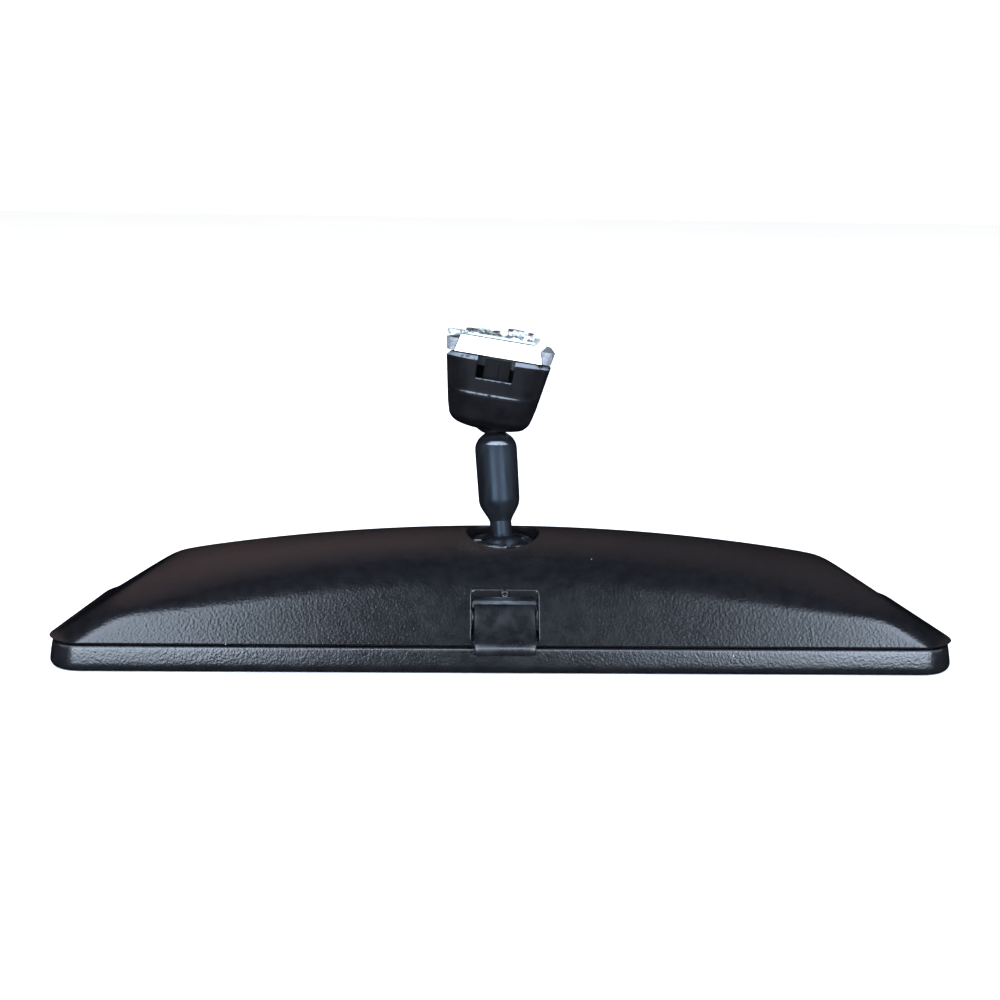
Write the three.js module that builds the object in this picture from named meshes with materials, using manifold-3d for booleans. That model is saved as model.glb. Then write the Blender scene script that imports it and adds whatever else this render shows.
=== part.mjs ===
// Interior rear-view mirror: a prism-glass head with a day/night lever, a double-ball arm
// and a windscreen mount.
//
// Units are millimetres. The head lies on the rim of its bezel: +Z points from the glass
// towards the back cover, -Y is the mirror's lower edge (the lever's side), +X runs along it.
// The middle of the head's footprint, lever lip included, is the origin.

import * as THREE from 'three';
import { mergeVertices } from 'three/addons/utils/BufferGeometryUtils.js';
import Module from 'manifold-3d';

const wasm = await Module();
wasm.setup();

// ---------------------------------------------------------------- driving dimensions

const CLEARANCE = 0.3; // gap kept between two pieces that touch

// Head outline: a long trapezoid, widest near the lower edge, with rounded corners.
const HALF_LENGTH = 124.8; // at the level where the lower corners turn into the ends
const HALF_HEIGHT = 32.8;
const END_LEAN = 0.14; // how much each end draws in per millimetre towards the upper edge
const LEAN_LEVEL = -22; // y where HALF_LENGTH is measured
const LOWER_CORNER = 11.3;
const UPPER_CORNER = 14;
const CORNER_STEPS = 5;

// Back cover: three sloping sides under a crown that arches both ways.
const LOWER_SLOPE = 1.39;
const UPPER_SLOPE = 2.5;
const END_SLOPE = 0.58;
const CROWN_TOP = 32.7;
const CROWN_ARCH = 0.00092; // drop per square millimetre along X
const RIDGE_Y = 3;
const CROWN_FALL = 7.55; // drop one FALL_REACH away from the ridge
const CROWN_FALL_RELIEF = 0.00035; // the ends are flatter across than the middle
const FALL_REACH = 22;
const CROWN_WALL = 2.2;
const SIDE_WALL = 3.4; // measured level, through the sloping sides
const WALL_TOP = 40;

const BEZEL_TOP = 7.4;
const HOUSING_BASE = 8.6;
const GROOVE_DEPTH = 1.0;
const LIP_HEIGHT = 1.6; // bezel lip in front of the glass
const LIP_REACH = 3.6;
const BEZEL_WALL = 2.0;
const RIM_WALL = 4.0; // inner side of the housing's rim
const EDGE_ROUND = 1.2;

const GLASS_LOW = 3.2; // wedge: thickness at the lower edge
const GLASS_HIGH = 5.4; // and at the upper edge
const BACKING = 0.5;

// Toggle: pivots along X, held by the base plate.
const LEVER_PIVOT = { y: -20.5, z: 12.5 };
const BRACKET_HINGE = { y: 20, z: 14.9 };
const PIN_RADIUS = 1.5;
const PIN_BORE = PIN_RADIUS + CLEARANCE;
const PLATE_Z = 10.2;
const PLATE_THICKNESS = 1.5;
const PLATE_TOP = PLATE_Z + PLATE_THICKNESS;
const PLATE_HALF = 44;
const LEVER_HALF = 8.5;
const RECESS_HALF = 9.2;
const RECESS_Y = -23.3; // back of the recess, just behind the crest
const RECESS_WALL_Z = 19.2; // lower edge of the wall above the lever
const LEVER_TIP = -36.2; // front edge of the finger lip
const LEVER_EAR = { inner: LEVER_HALF + 0.4, outer: LEVER_HALF + 2.4 };
const BRACKET_HALF = 13;
const BRACKET_EAR = { inner: BRACKET_HALF + 0.4, outer: BRACKET_HALF + 2.4 };
const BRACKET_Z = 13.2;
const SOCKET_FLOOR = 15.2;
const SOCKET_TOP = 27.4;
const SCREW_SPOTS = [[-38, -15], [38, -15], [-38, 19], [38, 19]];
const BOSS_RADIUS = 3.4;
const BOSS_BORE_TOP = 20.5;

// Ball joints and arm.
const LOWER_BALL = new THREE.Vector3(0, 0, 26.5);
const LOWER_BALL_RADIUS = 6.8;
const LOWER_MOUTH = 5.9;
const UPPER_BALL_RADIUS = 7.0;
const UPPER_MOUTH = 6.35;
const ARM_LENGTH = 41; // from ball centre to ball centre
const ARM_LEAN = 16; // degrees towards the mirror's upper edge
const ARM_SWAY = 4; // degrees towards -X
const NECK_RADIUS = 3.15;
const SLEEVE_RADIUS = 6.1;
const HOLE_RADIUS = 10.3; // opening in the back cover
const COLLAR_RADIUS = 8.7;

// Windscreen mount, in its own frame at the upper ball's centre.
const MOUNT_YAW = -7;
const MOUNT_PITCH = -3;
const MOUNT_ROLL = 8;
const SHELL_BOTTOM = -4.6;
const SHELL_TOP = 16.3;
const RAIL_TOP = 20.1;
const MOUNT_TOP = 21.3; // the button's top stands above the rails
const MOUNT_HALF = 16;
const MOUNT_FRONT = -14;
const MOUNT_BACK = 14;
const MOUNT_TAPER = { half: 4.6, back: 1.5, front: 1.2 }; // drawn in at the bottom
const SHELL_WALL = 1.3;
const SHELL_OPENING = 8.4;
const SEAT_RADIUS = 8.1;
const BARREL_RADIUS = 9.4;
const BARREL_LOW = 0;
const CHANNEL_WALL = SHELL_WALL + CLEARANCE;
const CHANNEL_FLOOR = 13.4;
const NOTCH = { half: 5.2, low: 10.2 };
const BUTTON = { bottomHalf: 12.4, topHalf: 11.2, low: 16.6, high: 21.3 };

// ---------------------------------------------------------------- shape helpers

const radians = THREE.MathUtils.degToRad;

function solidOf(geometry) {
  const plain = geometry.clone();
  plain.deleteAttribute('normal');
  plain.deleteAttribute('uv');
  const merged = mergeVertices(plain, 1e-4);
  const mesh = new wasm.Mesh({
    numProp: 3,
    vertProperties: new Float32Array(merged.attributes.position.array),
    triVerts: new Uint32Array(merged.index.array),
  });
  return new wasm.Manifold(mesh);
}

function geometryOf(solid) {
  const mesh = solid.getMesh();
  const geometry = new THREE.BufferGeometry();
  geometry.setAttribute('position', new THREE.BufferAttribute(mesh.vertProperties, 3));
  geometry.setIndex(new THREE.BufferAttribute(mesh.triVerts, 1));
  return geometry;
}

function joined(solids) {
  return solids.reduce((whole, next) => whole.add(next));
}

function cut(solid, ...tools) {
  return tools.reduce((rest, tool) => rest.subtract(tool), solid);
}

function box(x0, x1, y0, y1, z0, z1) {
  const geometry = new THREE.BoxGeometry(x1 - x0, y1 - y0, z1 - z0);
  geometry.translate((x0 + x1) / 2, (y0 + y1) / 2, (z0 + z1) / 2);
  return solidOf(geometry);
}

function uprightCylinder(radius, z0, z1, x = 0, y = 0, sides = 32) {
  const geometry = new THREE.CylinderGeometry(radius, radius, z1 - z0, sides);
  geometry.rotateX(Math.PI / 2);
  geometry.translate(x, y, (z0 + z1) / 2);
  return solidOf(geometry);
}

function crossCylinder(radius, x0, x1, { y, z }, sides = 20) {
  const geometry = new THREE.CylinderGeometry(radius, radius, x1 - x0, sides);
  geometry.rotateZ(Math.PI / 2);
  geometry.translate((x0 + x1) / 2, y, z);
  return solidOf(geometry);
}

function forwardCylinder(radius, y0, y1, { x, z }, sides = 16) {
  const geometry = new THREE.CylinderGeometry(radius, radius, y1 - y0, sides);
  geometry.translate(x, (y0 + y1) / 2, z);
  return solidOf(geometry);
}

// Turned piece: [radius, z] pairs, closed on themselves or starting and ending on the axis.
// Either direction round the profile will do.
function turned(profile, sides = 30) {
  const points = profile.map(([radius, z]) => new THREE.Vector2(radius, z));
  if (THREE.ShapeUtils.area(points) < 0) points.reverse();
  const geometry = new THREE.LatheGeometry(points, sides);
  geometry.rotateX(Math.PI / 2);
  return solidOf(geometry);
}

// Points of an arc about (0, centre) in a turned profile, from one angle to another.
// The angles are in degrees above the equator.
function arc(radius, centre, from, to, steps) {
  const points = [];
  for (let i = 0; i <= steps; i += 1) {
    const angle = radians(from + ((to - from) * i) / steps);
    points.push([radius * Math.cos(angle), centre + radius * Math.sin(angle)]);
  }
  return points;
}

// A profile of [y, z] pairs pushed along X.
function sideways(profile, x0, x1) {
  const shape = new THREE.Shape(profile.map(([y, z]) => new THREE.Vector2(y, z)));
  const geometry = new THREE.ExtrudeGeometry(shape, { depth: x1 - x0, bevelEnabled: false });
  geometry.rotateY(Math.PI / 2);
  geometry.rotateX(Math.PI / 2);
  geometry.translate(x0, 0, 0);
  return solidOf(geometry);
}

// A profile of [x, z] pairs pushed along Y.
function lengthways(profile, y0, y1) {
  const shape = new THREE.Shape(profile.map(([x, z]) => new THREE.Vector2(x, z)));
  const geometry = new THREE.ExtrudeGeometry(shape, { depth: y1 - y0, bevelEnabled: false });
  geometry.rotateX(Math.PI / 2);
  geometry.translate(0, y1, 0);
  return solidOf(geometry);
}

// A flat strip bent along [y, z] points, of one thickness, pushed along X.
function bentStrip(points, thickness, x0, x1) {
  const upper = points.map(([y, z]) => [y, z + thickness]).reverse();
  return sideways([...points, ...upper], x0, x1);
}

// A closed solid through rings of equally many points; both ends are convex and flat.
function loft(rings) {
  const count = rings[0].length;
  const positions = rings.flat().flatMap((point) => [point.x, point.y, point.z]);
  const index = [];
  for (let ring = 0; ring < rings.length - 1; ring += 1) {
    for (let i = 0; i < count; i += 1) {
      const a = ring * count + i;
      const b = ring * count + ((i + 1) % count);
      index.push(a, b, b + count, a, b + count, a + count);
    }
  }
  const last = (rings.length - 1) * count;
  for (let i = 1; i < count - 1; i += 1) {
    index.push(0, i + 1, i, last, last + i, last + i + 1);
  }
  const geometry = new THREE.BufferGeometry();
  geometry.setAttribute('position', new THREE.Float32BufferAttribute(positions, 3));
  geometry.setIndex(index);
  return solidOf(geometry);
}

// Counter-clockwise outline with an arc at every corner: [x, y, radius] each.
function roundedOutline(corners, steps = CORNER_STEPS) {
  const points = [];
  corners.forEach(([x, y, radius], i) => {
    const here = new THREE.Vector2(x, y);
    const [px, py] = corners[(i + corners.length - 1) % corners.length];
    const [nx, ny] = corners[(i + 1) % corners.length];
    const back = new THREE.Vector2(px, py).sub(here).normalize();
    const ahead = new THREE.Vector2(nx, ny).sub(here).normalize();
    const half = Math.acos(THREE.MathUtils.clamp(back.dot(ahead), -1, 1)) / 2;
    const middle = back.clone().add(ahead).normalize();
    const centre = here.clone().addScaledVector(middle, radius / Math.sin(half));
    const start = here.clone().addScaledVector(back, radius / Math.tan(half)).sub(centre);
    const sweep = Math.PI - 2 * half;
    for (let step = 0; step <= steps; step += 1) {
      const turn = start.clone().rotateAround(new THREE.Vector2(), (sweep * step) / steps);
      points.push(turn.add(centre));
    }
  });
  return points;
}

function atLevel(outline, z) {
  const level = typeof z === 'function' ? z : () => z;
  return outline.map((point) => new THREE.Vector3(point.x, point.y, level(point.x, point.y)));
}

function prism(outline, z0, z1) {
  return loft([atLevel(outline, z0), atLevel(outline, z1)]);
}

// ---------------------------------------------------------------- the head's form

// Outline of the head drawn in by a level inset, or by the sloping sides at a given rise.
function headOutline(inset, rise = 0) {
  const near = -HALF_HEIGHT + inset + rise / LOWER_SLOPE;
  const far = HALF_HEIGHT - inset - rise / UPPER_SLOPE;
  const reach = (y) => HALF_LENGTH - inset - END_LEAN * (y - LEAN_LEVEL) - rise / END_SLOPE;
  const lower = Math.max(LOWER_CORNER - inset, 3);
  const upper = Math.max(UPPER_CORNER - inset, 3);
  return roundedOutline([
    [-reach(near), near, lower],
    [reach(near), near, lower],
    [reach(far), far, upper],
    [-reach(far), far, upper],
  ]);
}

function crownHeight(x, y) {
  const fall = CROWN_FALL - CROWN_FALL_RELIEF * x * x;
  const reach = (y - RIDGE_Y) / FALL_REACH;
  return CROWN_TOP - CROWN_ARCH * x * x - fall * reach * reach;
}

// Everything under the crown, lowered by a wall thickness, as one block.
function underCrown(drop) {
  const columns = 18;
  const rows = 9;
  const halfX = 130;
  const halfY = 36;
  const positions = [];
  const index = [];
  const at = (column, row, top) => (column * (rows + 1) + row) * 2 + top;
  for (let column = 0; column <= columns; column += 1) {
    for (let row = 0; row <= rows; row += 1) {
      const x = -halfX + (2 * halfX * column) / columns;
      const y = -halfY + (2 * halfY * row) / rows;
      positions.push(x, y, -10, x, y, crownHeight(x, y) - drop);
    }
  }
  const quad = (a, b, c, d) => index.push(a, b, c, a, c, d);
  for (let i = 0; i < columns; i += 1) {
    for (let j = 0; j < rows; j += 1) {
      quad(at(i, j, 1), at(i + 1, j, 1), at(i + 1, j + 1, 1), at(i, j + 1, 1));
      quad(at(i, j, 0), at(i, j + 1, 0), at(i + 1, j + 1, 0), at(i + 1, j, 0));
    }
    quad(at(i, 0, 0), at(i + 1, 0, 0), at(i + 1, 0, 1), at(i, 0, 1));
    quad(at(i + 1, rows, 0), at(i, rows, 0), at(i, rows, 1), at(i + 1, rows, 1));
  }
  for (let j = 0; j < rows; j += 1) {
    quad(at(0, j + 1, 0), at(0, j, 0), at(0, j, 1), at(0, j + 1, 1));
    quad(at(columns, j, 0), at(columns, j + 1, 0), at(columns, j + 1, 1), at(columns, j, 1));
  }
  const geometry = new THREE.BufferGeometry();
  geometry.setAttribute('position', new THREE.Float32BufferAttribute(positions, 3));
  geometry.setIndex(index);
  return solidOf(geometry);
}

// The sloping sides, from the base of the housing up.
function slopingSides(inset) {
  return loft([
    atLevel(headOutline(inset), HOUSING_BASE),
    atLevel(headOutline(inset, WALL_TOP - HOUSING_BASE), WALL_TOP),
  ]);
}

// Back of the wedge glass, where the backing and the housing's rim follow it.
function glassBack(x, y) {
  const across = (y + HALF_HEIGHT) / (2 * HALF_HEIGHT);
  return LIP_HEIGHT + CLEARANCE + GLASS_LOW + (GLASS_HIGH - GLASS_LOW) * across;
}

function rearHousing() {
  const outer = slopingSides(0).intersect(underCrown(0));
  const rimBottom = (x, y) => glassBack(x, y) + CLEARANCE;
  const rim = loft([
    atLevel(headOutline(BEZEL_WALL + CLEARANCE), rimBottom),
    atLevel(headOutline(BEZEL_WALL + CLEARANCE), BEZEL_TOP + CLEARANCE + 0.6),
  ]);
  const flange = prism(headOutline(GROOVE_DEPTH), BEZEL_TOP + CLEARANCE, HOUSING_BASE + 0.4);
  const hollow = slopingSides(SIDE_WALL)
    .add(prism(headOutline(RIM_WALL), 3, HOUSING_BASE + 0.8))
    .intersect(underCrown(CROWN_WALL));
  const recess = box(-RECESS_HALF, RECESS_HALF, -40, RECESS_Y, HOUSING_BASE + 0.9, WALL_TOP)
    .add(box(-RECESS_HALF, RECESS_HALF, RECESS_Y - 1, -14, HOUSING_BASE + 0.9, RECESS_WALL_Z));
  const shell = cut(joined([outer, rim, flange]), hollow, recess);
  const recessWall = box(-RECESS_HALF - 0.8, RECESS_HALF + 0.8,
    RECESS_Y, RECESS_Y + 1.6, RECESS_WALL_Z, 26);
  const stopStub = forwardCylinder(1, RECESS_Y - 1.2, RECESS_Y + 0.8, { x: 0, z: 20.4 });
  const bosses = SCREW_SPOTS.map(
    ([x, y]) => uprightCylinder(BOSS_RADIUS, PLATE_TOP + CLEARANCE, WALL_TOP, x, y, 20),
  );
  const bores = SCREW_SPOTS.map(
    ([x, y]) => uprightCylinder(PIN_BORE, PLATE_Z, BOSS_BORE_TOP, x, y, 16),
  );
  const inside = joined([recessWall, ...bosses]).intersect(outer);
  return cut(
    joined([shell, inside, stopStub]),
    ...bores,
    uprightCylinder(HOLE_RADIUS, 20, 50),
  );
}

function bezelFrame() {
  const body = loft([
    atLevel(headOutline(EDGE_ROUND), 0),
    atLevel(headOutline(EDGE_ROUND * 0.3), EDGE_ROUND * 0.3),
    atLevel(headOutline(0), EDGE_ROUND),
    atLevel(headOutline(0), BEZEL_TOP),
  ]);
  return cut(
    body,
    prism(headOutline(LIP_REACH), -1, LIP_HEIGHT + 0.5),
    prism(headOutline(BEZEL_WALL), LIP_HEIGHT, BEZEL_TOP + 1),
  );
}

function prismGlass() {
  const outline = headOutline(BEZEL_WALL + CLEARANCE);
  return loft([atLevel(outline, LIP_HEIGHT + CLEARANCE), atLevel(outline, glassBack)]);
}

function glassBacking() {
  const outline = headOutline(RIM_WALL + 0.4);
  return loft([
    atLevel(outline, (x, y) => glassBack(x, y) + CLEARANCE),
    atLevel(outline, (x, y) => glassBack(x, y) + CLEARANCE + BACKING),
  ]);
}

// ---------------------------------------------------------------- toggle

function basePlate() {
  const plate = prism(roundedOutline([
    [-PLATE_HALF, -24.5, 4],
    [PLATE_HALF, -24.5, 4],
    [PLATE_HALF, 26.5, 4],
    [-PLATE_HALF, 26.5, 4],
  ]), PLATE_Z, PLATE_TOP);
  const window = box(-BRACKET_HALF - 0.4, BRACKET_HALF + 0.4, -16.2, 13, 5, 15);
  const leverNotch = box(-LEVER_HALF - 0.4, LEVER_HALF + 0.4, -30, -16, 5, 15);
  const ears = [];
  for (const side of [-1, 1]) {
    const span = (ear) => [side * ear.inner, side * ear.outer].sort((a, b) => a - b);
    const [l0, l1] = span(LEVER_EAR);
    ears.push(box(l0, l1, -24, -17, PLATE_Z + 0.5, LEVER_PIVOT.z + 3));
    const [b0, b1] = span(BRACKET_EAR);
    ears.push(box(b0, b1, 16.5, 23.5, PLATE_Z + 0.5, BRACKET_HINGE.z + 3));
  }
  const screwHoles = SCREW_SPOTS.map(
    ([x, y]) => uprightCylinder(PIN_BORE, PLATE_Z - 2, PLATE_TOP + 2, x, y, 16),
  );
  return cut(
    joined([plate, ...ears]),
    window,
    leverNotch,
    crossCylinder(PIN_BORE, -LEVER_EAR.outer, LEVER_EAR.outer, LEVER_PIVOT),
    crossCylinder(PIN_BORE, -20, 20, BRACKET_HINGE),
    ...screwHoles,
  );
}

// The lever's pin is pressed into its ears, so it has no heads and stays inside them.
function plainPin(centre, reach) {
  return crossCylinder(PIN_RADIUS, -reach, reach, centre);
}

function headedPin(centre, reach) {
  const shank = crossCylinder(PIN_RADIUS, -reach - 1, reach + 1, centre);
  const heads = [-1, 1].map((side) => {
    const ends = [side * (reach + CLEARANCE), side * (reach + 1.3)].sort((a, b) => a - b);
    return crossCylinder(2.4, ends[0], ends[1], centre);
  });
  return joined([shank, ...heads]);
}

function baseScrew() {
  return turned([
    [0, -2], [1.6, -2], [2.5, -1.6], [2.8, -0.9], [2.8, -CLEARANCE],
    [PIN_RADIUS, -CLEARANCE], [PIN_RADIUS, 7], [0.4, 8.6], [0, 8.6],
  ], 18);
}

// Leaf that presses the bracket up against the lever's nose.
function detentSpring() {
  return bentStrip([[25, 8.5], [13, 8.5], [5, 10.9], [0.5, 11.3], [-1.5, 10.7]], 0.4, -4, 4);
}

function socketCarrier() {
  const tongue = box(-6, 6, -17, -11, 10.6, 12.3);
  const riser = box(-6, 6, -12.5, -10.5, 10.6, SOCKET_FLOOR);
  const web = box(-10.5, 10.5, -12.5, 18.6, BRACKET_Z, SOCKET_FLOOR);
  const barrel = crossCylinder(2.6, -BRACKET_HALF, BRACKET_HALF, BRACKET_HINGE);
  const body = uprightCylinder(9.4, BRACKET_Z, SOCKET_TOP);
  const bore = uprightCylinder(8.5, SOCKET_FLOOR + 1, 40);
  const drain = uprightCylinder(2.2, 5, 20, 0, 0, 24);
  const springRoom = sideways([[6, 12.5], [-3, 12.5], [-3, 13.4], [6, 13.4]], -4.5, 4.5);
  return cut(
    joined([tongue, riser, web, barrel, body]),
    bore,
    drain,
    springRoom,
    crossCylinder(PIN_BORE, -20, 20, BRACKET_HINGE),
  );
}

function lowerBallSeat() {
  const hollow = LOWER_BALL_RADIUS + CLEARANCE;
  const rim = 0.9;
  const rimAngle = THREE.MathUtils.radToDeg(Math.asin(rim / hollow));
  return turned([
    [2, LOWER_BALL.z - hollow - 1],
    [8.2, LOWER_BALL.z - hollow - 1],
    [8.2, LOWER_BALL.z + rim],
    ...arc(hollow, LOWER_BALL.z, rimAngle, -73, 7),
    [2, LOWER_BALL.z - hollow - 1],
  ]);
}

function waveWasher(z, inner, outer) {
  return turned([
    [inner, z + 0.7], [inner, z + 1.2], [outer, z + 0.5], [outer, z], [inner, z + 0.7],
  ], 28);
}

// Slotted ring that keeps the lower ball in its seat; it shows inside the cover's opening.
function ballCollar() {
  const hollow = LOWER_BALL_RADIUS + CLEARANCE;
  const mouthAngle = THREE.MathUtils.radToDeg(Math.acos(LOWER_MOUTH / hollow));
  const low = 1.2;
  const lowAngle = THREE.MathUtils.radToDeg(Math.asin(low / hollow));
  const top = LOWER_BALL.z + hollow * Math.sin(radians(mouthAngle));
  const ring = turned([
    [COLLAR_RADIUS - 0.5, top],
    [COLLAR_RADIUS, top - 0.5],
    [COLLAR_RADIUS, LOWER_BALL.z + low],
    ...arc(hollow, LOWER_BALL.z, lowAngle, mouthAngle, 4).slice(0, -1),
    [LOWER_MOUTH, top],
    [COLLAR_RADIUS - 0.5, top],
  ].reverse());
  const slots = [0, 1, 2, 3].map((i) => {
    const slot = new THREE.BoxGeometry(3, 1.2, 1.6);
    slot.translate(LOWER_MOUTH + 1.2, 0, top);
    slot.rotateZ(radians(15 + 90 * i));
    return solidOf(slot);
  });
  return cut(ring, ...slots);
}

// Side profile of the lever's blade, from the hub over the rim to the finger lip.
const LEVER_PROFILE = [
  [-24.3, 17.6], [-29.2, 12.9], [-33.2, 10.2], [-35.4, 9.7],
  [LEVER_TIP, 8.4], [LEVER_TIP, 6.9], [-35.6, 6.3], [-34.7, 6.4],
  [-34.4, 7.8], [-33.5, 9.0], [-31.4, 9.9], [-27.0, 11.6],
  [-22.0, 10.6], [-20.5, 13.5], [-22.5, 16.9],
];

function dayNightLever() {
  const blade = sideways(LEVER_PROFILE, -LEVER_HALF, LEVER_HALF);
  const hub = crossCylinder(3.2, -LEVER_HALF, LEVER_HALF, LEVER_PIVOT);
  const nose = box(-5, 5, -19, -16.1, 12.7, 14.3);
  return cut(joined([blade, hub, nose]), crossCylinder(PIN_BORE, -20, 20, LEVER_PIVOT));
}

// ---------------------------------------------------------------- ball joints and arm
// These pieces are turned about the arm, with the lower ball's centre at zero.

function fullBall(radius) {
  return turned(arc(radius, 0, -90, 90, 12).map(
    ([r, z], i, all) => [i === 0 || i === all.length - 1 ? 0 : r, z],
  ), 26);
}

// Stud that leaves the lower ball: its foot is dished to the ball.
function lowerNeck() {
  const dish = LOWER_BALL_RADIUS + CLEARANCE;
  const edge = THREE.MathUtils.radToDeg(Math.acos(NECK_RADIUS / dish));
  const foot = arc(dish, 0, 90, edge, 4);
  foot[0][0] = 0;
  return turned([
    ...foot,
    [NECK_RADIUS, 8], [NECK_RADIUS, 8.7], [0, 8.7],
  ], 28);
}

// Sleeve: flares from the neck to its full thickness and closes in below the upper ball.
function armSleeve() {
  const dish = UPPER_BALL_RADIUS + CLEARANCE;
  const edge = THREE.MathUtils.radToDeg(Math.acos(3.2 / dish));
  const top = arc(dish, ARM_LENGTH, -edge, -90, 4);
  top[top.length - 1][0] = 0;
  return turned([
    [0, 9], [3.3, 9], [3.7, 10], [4.5, 11.3], [5.4, 13.0],
    [SLEEVE_RADIUS - 0.15, 15], [SLEEVE_RADIUS, 30.3],
    [5.6, 32.0], [4.6, 33.5], [3.3, 34.3],
    ...top,
  ], 30);
}

// ---------------------------------------------------------------- windscreen mount
// In the mount's own frame: zero at the upper ball's centre, -Y is its open front.

function upperBallSeat() {
  const hollow = UPPER_BALL_RADIUS + CLEARANCE;
  const mouth = -THREE.MathUtils.radToDeg(Math.acos(UPPER_MOUTH / hollow));
  const low = hollow * Math.sin(radians(mouth));
  return turned([
    [SEAT_RADIUS, low], [SEAT_RADIUS, 8.4], [1.4, 8.4],
    ...arc(hollow, 0, 79, mouth, 9),
    [SEAT_RADIUS, low],
  ]);
}

// Outline of the mount at a height: flares upwards, draws in towards the back.
function mountOutline(z, inset) {
  const rise = (z - SHELL_BOTTOM) / (MOUNT_TOP - SHELL_BOTTOM);
  const half = MOUNT_HALF - MOUNT_TAPER.half * (1 - rise) - inset;
  const back = MOUNT_BACK - MOUNT_TAPER.back * (1 - rise) - inset;
  const front = MOUNT_FRONT + MOUNT_TAPER.front * (1 - rise) + inset;
  return [
    [-half, front, 2.2], [half, front, 2.2],
    [half - 3.2, back, 5], [-half + 3.2, back, 5],
  ];
}

function mountLayer(z, inset) {
  return atLevel(roundedOutline(mountOutline(z, inset), 4), z);
}

// The shell's front wall bellies out below the rails.
function frontBelly() {
  const outline = (z, reach) => {
    const rise = (z - SHELL_BOTTOM) / (MOUNT_TOP - SHELL_BOTTOM);
    const half = MOUNT_HALF - MOUNT_TAPER.half * (1 - rise) - 0.4;
    const points = [];
    const steps = 12;
    for (let i = 0; i <= steps; i += 1) {
      const across = -1 + (2 * i) / steps;
      points.push(new THREE.Vector2(across * half, MOUNT_FRONT + 2 - reach * (1 - across ** 4)));
    }
    points.push(new THREE.Vector2(half, MOUNT_FRONT + 4));
    points.push(new THREE.Vector2(-half, MOUNT_FRONT + 4));
    return atLevel(points, z);
  };
  return loft([
    outline(-1.5, 3.2), outline(3.6, 5.2), outline(5.4, 5.6), outline(SHELL_TOP - 0.6, 5.9),
  ]);
}

function mountShell() {
  const body = loft([
    mountLayer(SHELL_BOTTOM, 3.2), mountLayer(SHELL_BOTTOM + 1.2, 1.2),
    mountLayer(SHELL_BOTTOM + 3.4, 0), mountLayer(SHELL_TOP, 0),
  ]);
  const hollow = loft([
    mountLayer(SHELL_BOTTOM + 2.2, SHELL_WALL + 1.6),
    mountLayer(SHELL_BOTTOM + 4, SHELL_WALL),
    mountLayer(SHELL_TOP + 2, SHELL_WALL),
  ]);
  const opening = turned([
    [0, SHELL_BOTTOM - 1], [SHELL_OPENING + 0.6, SHELL_BOTTOM - 1],
    [SHELL_OPENING, SHELL_BOTTOM + 0.6], [SHELL_OPENING, SHELL_BOTTOM + 5],
    [0, SHELL_BOTTOM + 5],
  ]);
  const notch = box(-NOTCH.half, NOTCH.half, -25, MOUNT_FRONT + 3.6, NOTCH.low, 40);
  const barrelRoom = uprightCylinder(BARREL_RADIUS + CLEARANCE, BARREL_LOW - CLEARANCE, 15);
  return cut(joined([body, frontBelly()]), hollow, opening, notch, barrelRoom);
}

// Die-cast channel: a barrel round the seat, a deck, and two dovetail rails on top.
function mountChannel() {
  const rails = loft([mountLayer(SHELL_TOP + CLEARANCE, 0), mountLayer(RAIL_TOP, 0)]);
  const deck = loft([
    mountLayer(CHANNEL_FLOOR, CHANNEL_WALL),
    mountLayer(SHELL_TOP + CLEARANCE + 0.1, CHANNEL_WALL),
  ]);
  const barrel = uprightCylinder(BARREL_RADIUS, BARREL_LOW, CHANNEL_FLOOR + 0.5);
  const seatBore = uprightCylinder(SEAT_RADIUS + CLEARANCE, -10, 8.7);
  const springBore = uprightCylinder(7.6, 8, 11.2);
  const keyBore = uprightCylinder(2, 10, 30, 0, 0, 20);
  const wide = BUTTON.bottomHalf + CLEARANCE;
  const narrow = BUTTON.topHalf + CLEARANCE;
  const shoulder = BUTTON.high + 0.01;
  const dovetail = lengthways([
    [-wide, BUTTON.low - CLEARANCE], [wide, BUTTON.low - CLEARANCE],
    [narrow, shoulder], [narrow, BUTTON.high + 3],
    [-narrow, BUTTON.high + 3], [-narrow, shoulder],
  ], -30, MOUNT_BACK - 2.4);
  const frontGap = box(-NOTCH.half - 0.6, NOTCH.half + 0.6, -25, -10.3, 5, 30);
  return cut(joined([rails, deck, barrel]), seatBore, springBore, keyBore, dovetail, frontGap);
}

function windscreenButton() {
  return lengthways([
    [-BUTTON.bottomHalf, BUTTON.low], [BUTTON.bottomHalf, BUTTON.low],
    [BUTTON.topHalf, BUTTON.high], [-BUTTON.topHalf, BUTTON.high],
  ], MOUNT_FRONT - 0.4, MOUNT_BACK - 2.8);
}

function bondingFilm() {
  return box(-9.6, 9.6, MOUNT_FRONT + 1.2, MOUNT_BACK - 4.5,
    BUTTON.high + CLEARANCE, BUTTON.high + 0.9);
}

// Leaf seen through the notch: it snaps behind the button's front edge.
function lockingSpring() {
  return box(-3.6, 3.6, -11.1, -10.6, 6.5, 15.6)
    .add(box(-0.4, 0.4, -11.6, -11.0, NOTCH.low + 0.2, 14.6));
}

// ---------------------------------------------------------------- materials and assembly

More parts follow.
